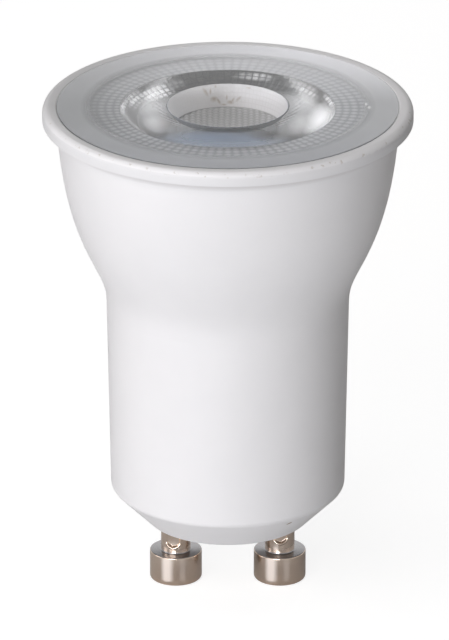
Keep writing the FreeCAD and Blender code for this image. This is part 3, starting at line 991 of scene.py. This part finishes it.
finishes = {
    "shell_plastic": shellPlastic(),
    "lens_clear": lensClear(),
    "pin_nickel": pinNickel(),
    "sink_aluminium": sinkAluminium(),
    "round_board": coated("whiteMask", (0.42, 0.43, 0.44), (0.50, 0.50, 0.50), 0.45),
    "source_ceramic": coated("paleCeramic", (0.80, 0.79, 0.76), (0.86, 0.85, 0.82), 0.5),
    "phosphor": coated("yellowPhosphor", (0.82, 0.56, 0.10), (0.90, 0.66, 0.16), 0.55),
    "screw_steel": coated("zincSteel", (0.50, 0.50, 0.51), (0.62, 0.62, 0.62), 0.32, 1.0),
    "driver_board": coated("greenMask", (0.05, 0.20, 0.08), (0.08, 0.28, 0.12), 0.35),
    "capacitor_sleeve": coated("darkSleeve", (0.03, 0.035, 0.05), (0.06, 0.065, 0.08), 0.28),
    "film_case": coated("dippedCoat", (0.52, 0.12, 0.05), (0.62, 0.17, 0.07), 0.25),
    "ferrite": coated("groundFerrite", (0.07, 0.07, 0.07), (0.13, 0.13, 0.13), 0.6),
    "copper_wire": coated("enamelledCopper", (0.62, 0.27, 0.10), (0.74, 0.36, 0.16), 0.30, 1.0),
    "resistor_coat": coated("blueLacquer", (0.26, 0.36, 0.46), (0.34, 0.44, 0.54), 0.4),
    "chip_black": coated("mouldedEpoxy", (0.02, 0.02, 0.02), (0.045, 0.045, 0.045), 0.5),
    "chip_ceramic": coated("firedCeramic", (0.45, 0.33, 0.20), (0.55, 0.42, 0.28), 0.5),
    "wire_brown": coated("brownSleeve", (0.17, 0.07, 0.03), (0.24, 0.11, 0.05), 0.35),
    "wire_blue": coated("blueSleeve", (0.04, 0.12, 0.36), (0.07, 0.17, 0.45), 0.35),
    "wire_red": coated("redSleeve", (0.48, 0.03, 0.03), (0.60, 0.05, 0.04), 0.35),
    "wire_black": coated("blackSleeve", (0.02, 0.02, 0.02), (0.04, 0.04, 0.04), 0.35),
}

for row in frame["record"]["subparts"]:
    node = frame["nodes"][row["node"]]
    for slot in node.material_slots:
        slot.material = finishes[row["material_slot"]]
print("finishes ready:", len(finishes))


# Mesh helpers
meshLook = {
    "roundSteps": 5,
    "mergeReach": 0.5e-7,  # m
    "sharpAngle": 30,  # degrees, edges past it stay sharp
}


def spinOutline(points, steps):
    # Turns an outline about Z; a point is radius and height, and may add a rounding and cuts to the next one
    points = [(*point, 0, 0)[:4] for point in points]
    bm = bmesh.new()
    verts = [bm.verts.new((point[0] * mm, 0, point[1] * mm)) for point in points]
    edges = [bm.edges.new(pair) for pair in zip(verts, verts[1:])]
    for edge, point in zip(edges, points):
        if point[3]:
            bmesh.ops.subdivide_edges(bm, edges=[edge], cuts=point[3])
    for radius, height, rounding, cuts in points:
        if rounding:
            corner = Vector((radius, 0, height)) * mm
            nearest = min(bm.verts, key=lambda vert: (vert.co - corner).length)
            bmesh.ops.bevel(bm, geom=[nearest], offset=rounding * mm, offset_type="OFFSET", profile=0.5,
                            segments=meshLook["roundSteps"], affect="VERTICES", clamp_overlap=True,
                            material=-1)
    bmesh.ops.spin(bm, geom=bm.verts[:] + bm.edges[:], axis=(0, 0, 1), cent=(0, 0, 0),
                   angle=turn, steps=steps, use_merge=True)
    bmesh.ops.remove_doubles(bm, verts=bm.verts[:], dist=meshLook["mergeReach"])
    return bm


def flatRing(inner, outer, low, high, steps):
    return spinOutline([(inner, high), (outer, high), (outer, low), (inner, low), (inner, high)], steps)


def finishPiece(bm, name, finish, sharpAngle=meshLook["sharpAngle"], node="lens"):
    bmesh.ops.recalc_face_normals(bm, faces=bm.faces[:])
    for face in bm.faces:
        face.smooth = True
    for edge in bm.edges:
        edge.smooth = edge.calc_face_angle(0.0) <= math.radians(sharpAngle)
    openEdges = sum(len(edge.link_faces) != 2 for edge in bm.edges)
    piece = addMesh(name, bm, finish)
    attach(piece, "root")
    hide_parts(node)
    print(name, "faces", len(piece.data.polygons), "open edges", openEdges)


# Lens: flat clear plate with a central well, a band of pillows under it and a faceted collimator
def cellHeight(position):
    # Height of a crowned cell, from 0 on its border to 1 in its middle
    inCell = position - math.floor(position + 1e-6)  # a border counts as the start of a cell
    return max(0.0, 1 - (2 * inCell - 1) ** 2)


wallStart = Vector((lensLook["bandInner"], lensTop - lensLook["plate"]))
wallChord = Vector((lensLook["wallFoot"], lensLow.z / mm)) - wallStart
wallOut = Vector((-wallChord.y, wallChord.x)).normalized()


def wallPlace(share, gap=0.0):
    # Place on the collimator's bulged wall, a share of the way down and a gap within the plastic
    bulge = lensLook["wallBulge"] * (1 - (2 * share - 1) ** 2)
    return tuple(wallStart + wallChord * share + wallOut * (bulge - gap))


def buildLens():
    look = lensLook
    bottom = lensLow.z / mm
    radius = lensHigh.x / mm + look["edgeFill"]
    flare = look["edgeFlare"]
    under = lensTop - look["plate"]
    wellFloor = lensTop - look["wellDepth"]
    inner = look["bandInner"]
    points = [
        (0, wellFloor), (look["wellFloor"], wellFloor), (look["wellMouth"], lensTop),
        (radius + flare, lensTop, look["edgeRound"]), (radius, lensTop - flare), (radius, under)]
    for row in range(look["bandRows"], 0, -1):
        points.append((inner * bandGrowth ** row, under, 0, look["cellSteps"] - 1))
    for row in range(look["wallRows"] + 1):
        share = (inner - inner / wallGrowth ** row) / (inner - look["wallFoot"])
        points.append((*wallPlace(share), 0, look["wallCuts"] if row < look["wallRows"] else 0))
    cupTop = bottom + look["cupDepth"]
    points += [(look["cupRadius"], bottom), (look["cupTop"], cupTop, 0, look["cupRings"]), (0, cupTop)]
    bm = spinOutline(points, look["cells"] * look["cellSteps"])
    # crown the small cells and the roof of the cup
    for vert in bm.verts:
        x, y, z = (part / mm for part in vert.co)
        reach = math.hypot(x, y)
        around = (math.atan2(y, x) / turn % 1.0) * look["cells"]
        if abs(z - under) < samePlace and inner < reach < look["bandOuter"]:
            along = math.log(reach / inner) / math.log(bandGrowth)
            vert.co.z -= look["bandCrown"] * cellHeight(around) * cellHeight(along) * mm
        elif abs(z - cupTop) < samePlace and reach < look["cupTop"]:
            vert.co.z -= look["cupCrown"] * (1 - (reach / look["cupTop"]) ** 2) * mm
        elif bottom + samePlace < z < under - samePlace and reach > look["cupRadius"] + look["cupMargin"]:
            share = (Vector((reach, z)) - wallStart).dot(wallChord) / wallChord.length_squared
            along = -math.log(1 + share * (look["wallFoot"] / inner - 1)) / math.log(wallGrowth)
            push = wallOut * look["wallCrown"] * cellHeight(around) * cellHeight(along)
            vert.co.x *= 1 + push.x / reach
            vert.co.y *= 1 + push.x / reach
            vert.co.z += push.y * mm
    finishPiece(bm, "lensOptic", finishes["lens_clear"], look["sharpAngle"])


# Frosted skin of the central well, with small domes on its floor
wellLook = {
    "steps": 300,
    "rings": 60,
    "gap": 0.02,  # mm from the clear plastic
    "skin": 0.05,
    "domePitch": 0.64,
    "domeHeight": 0.13,
}


def hexHeight(across, along, pitch):
    # Height of the nearest small dome in a honeycomb, 1 in its middle
    rowHeight = pitch * math.sqrt(3) / 2
    nearest = pitch
    row = round(along / rowHeight)
    for nearRow in (row - 1, row, row + 1):
        shift = pitch / 2 if nearRow % 2 else 0.0
        column = round((across - shift) / pitch)
        nearest = min(nearest, math.hypot(across - column * pitch - shift, along - nearRow * rowHeight))
    return 1 - (nearest / (pitch / math.sqrt(3))) ** 2


def buildWell():
    look = wellLook
    floor = lensTop - lensLook["wellDepth"] + look["gap"]
    mouth = lensLook["wellMouth"] - look["gap"]
    foot = lensLook["wellFloor"] - look["gap"]
    skin = look["skin"]
    bm = spinOutline([
        (0, floor), (foot, floor), (mouth, lensTop), (mouth - skin, lensTop),
        (foot - skin, floor + skin, 0, look["rings"]), (0, floor + skin)], look["steps"])
    for vert in bm.verts:
        x, y, z = (part / mm for part in vert.co)
        if abs(z - floor - skin) < samePlace and math.hypot(x, y) < foot - skin - samePlace:
            vert.co.z += look["domeHeight"] * hexHeight(y, x, look["domePitch"]) * mm  # rows run to the back
    finishPiece(bm, "lensWell", wellFrost())


# Frosted ring close under the lens face, from the outer pillows to the rim
frostRing = {
    "inner": 12.6,  # mm
    "outer": 16.08,
    "below": 0.01,  # mm under the lens face
    "thick": 0.02,
    "steps": 240,
}


def buildRing():
    look = frostRing
    high = lensTop - look["below"]
    bm = flatRing(look["inner"], look["outer"], high - look["thick"], high, look["steps"])
    finishPiece(bm, "lensRing", ringFrost())


# Frosted veil over the pillows with painted highlights and shade, and a collar of painted shade where the
# outside of the well's wall shows through the clear plastic
veilShape = {
    "inner": 10.16,  # mm
    "outer": 14.9,
    "above": 0.03,  # mm over the borders of the pillows
    "thick": 0.04,
    "collarGap": 0.04,  # mm from the wall of the well, within the plastic
    "collarBelow": 0.06,
    "collarThick": 0.03,
    "steps": 240,
}


def buildVeil():
    look = veilShape
    low = lensTop - lensLook["plate"] + look["above"]
    bm = flatRing(look["inner"], look["outer"], low, low + look["thick"], look["steps"])
    finishPiece(bm, "lensBand", bandFrost())


def buildCollar():
    look = veilShape
    slope = (lensLook["wellMouth"] - lensLook["wellFloor"]) / lensLook["wellDepth"]
    mouth = lensLook["wellMouth"] + look["collarGap"] - slope * look["collarBelow"]
    foot = lensLook["wellFloor"] + look["collarGap"]
    high = lensTop - look["collarBelow"]
    low = lensTop - lensLook["wellDepth"]
    thick = look["collarThick"]
    outline = [(mouth, high), (mouth + thick, high), (foot + thick, low), (foot, low), (mouth, high)]
    finishPiece(spinOutline(outline, look["steps"]), "lensCollar", collarShade())


# Oval patch of painted bluish shade under the lens face, before the well
def buildNearShade():
    look = nearShadeLook
    high = lensTop - look["below"]
    bm = bmesh.new()
    bmesh.ops.create_circle(bm, cap_ends=True, segments=look["steps"], radius=1.0)
    bmesh.ops.scale(bm, vec=(*look["half"], 1.0), verts=bm.verts[:])
    bmesh.ops.translate(bm, vec=(*look["middle"], high), verts=bm.verts[:])
    bmesh.ops.scale(bm, vec=(mm, mm, mm), verts=bm.verts[:])
    bmesh.ops.solidify(bm, geom=bm.faces[:], thickness=look["thick"] * mm)
    finishPiece(bm, "lensNearShade", nearShadeSkin())


# Thin skin just inside the collimator's wall, with painted highlights where the lit facets show
glintShape = {
    "gap": 0.06,  # mm from the wall, within the plastic
    "thick": 0.03,
    "firstShare": 0.02,  # of the way down the wall
    "lastShare": 0.86,
    "rows": 17,
    "steps": 180,
}


def buildGlints():
    look = glintShape
    span = look["lastShare"] - look["firstShare"]
    shares = [look["firstShare"] + span * row / look["rows"] for row in range(look["rows"] + 1)]
    outer = [wallPlace(share, look["gap"]) for share in shares]
    inner = [wallPlace(share, look["gap"] + look["thick"]) for share in shares]
    bm = spinOutline(outer + inner[::-1] + outer[:1], look["steps"])
    finishPiece(bm, "lensGlints", glintFrost())


# Contact pins: turned, with a crimp mark pressed into the front of the shank
pinLook = {
    "steps": 160,
    "sharpAngle": 50,
    "headRadius": 2.5,  # mm
    "headHeight": 2.95,
    "headRound": 0.3,
    "headTopRound": 0.12,
    "shankRadius": 1.425,
    "shankFillet": 0.08,
    "markZone": (0.3, 3.8),  # mm above the head, finely cut for the mark
    "zoneCuts": (70, 4),  # in the zone and above it
    "floorTop": 8.45,
    "collarRadius": 2.2,
    "collarTop": 9.15,
    "socketRadius": 0.5,
    "socketDepth": 4.0,
    "markWidth": 1.35,
    "markLength": 2.3,
    "markDepth": 0.3,
    "markWall": 0.10,  # width of the mark's sloped edge
    "lipWidth": 0.16,  # metal raised around the mark
    "lipHeight": 0.045,
    "pins": {  # turn in degrees, and where the mark starts
        "contact_pin_left": (-11.0, 3.6),
        "contact_pin_right": (2.0, 4.05),
    },
}


def buildPin(node, heading, markStart):
    look = pinLook
    low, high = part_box(node)
    shank = look["shankRadius"]
    head = look["headHeight"]
    zoneStart, zoneEnd = look["markZone"]
    zoneCuts, endCuts = look["zoneCuts"]
    socketEnd = look["collarTop"] - look["socketDepth"]
    bm = spinOutline([
        (0, 0), (look["headRadius"], 0, look["headRound"]), (look["headRadius"], head, look["headTopRound"]),
        (shank, head, look["shankFillet"]), (shank, head + zoneStart, 0, zoneCuts),
        (shank, head + zoneEnd, 0, endCuts), (shank, look["floorTop"]),
        (look["collarRadius"], look["floorTop"]), (look["collarRadius"], look["collarTop"]),
        (look["socketRadius"], look["collarTop"]), (look["socketRadius"], socketEnd),
        (0, socketEnd)], look["steps"])
    half = look["markWidth"] / 2
    middle = markStart + look["markLength"] / 2
    straight = look["markLength"] / 2 - half
    for vert in bm.verts:
        x, y, z = (part / mm for part in vert.co)
        if y > 0 or abs(math.hypot(x, y) - shank) > samePlace:
            continue
        gap = math.hypot(x, max(abs(z - middle) - straight, 0.0)) - half
        if gap < 0:
            press = min(-gap / look["markWall"], 1.0)
            press = press * press * (3 - 2 * press)
            vert.co.y += press * max(0.0, -y - (shank - look["markDepth"])) * mm
        elif gap < look["lipWidth"]:
            rise = look["lipHeight"] * (1 - (2 * gap / look["lipWidth"] - 1) ** 2)
            vert.co.x *= 1 + rise / shank
            vert.co.y *= 1 + rise / shank
    turned = Matrix.Rotation(math.radians(heading), 3, "Z")
    bmesh.ops.rotate(bm, cent=(0, 0, 0), matrix=turned, verts=bm.verts[:])
    bmesh.ops.translate(bm, vec=((low.x + high.x) / 2, 0, 0), verts=bm.verts[:])
    name = node.replace("contact_pin_", "nickelPin_")
    finishPiece(bm, name, finishes["pin_nickel"], look["sharpAngle"], node)


buildLens()
buildWell()
buildRing()
buildVeil()
buildCollar()
buildNearShade()
buildGlints()
for pinNode, (pinHeading, pinMark) in pinLook["pins"].items():
    buildPin(pinNode, pinHeading, pinMark)
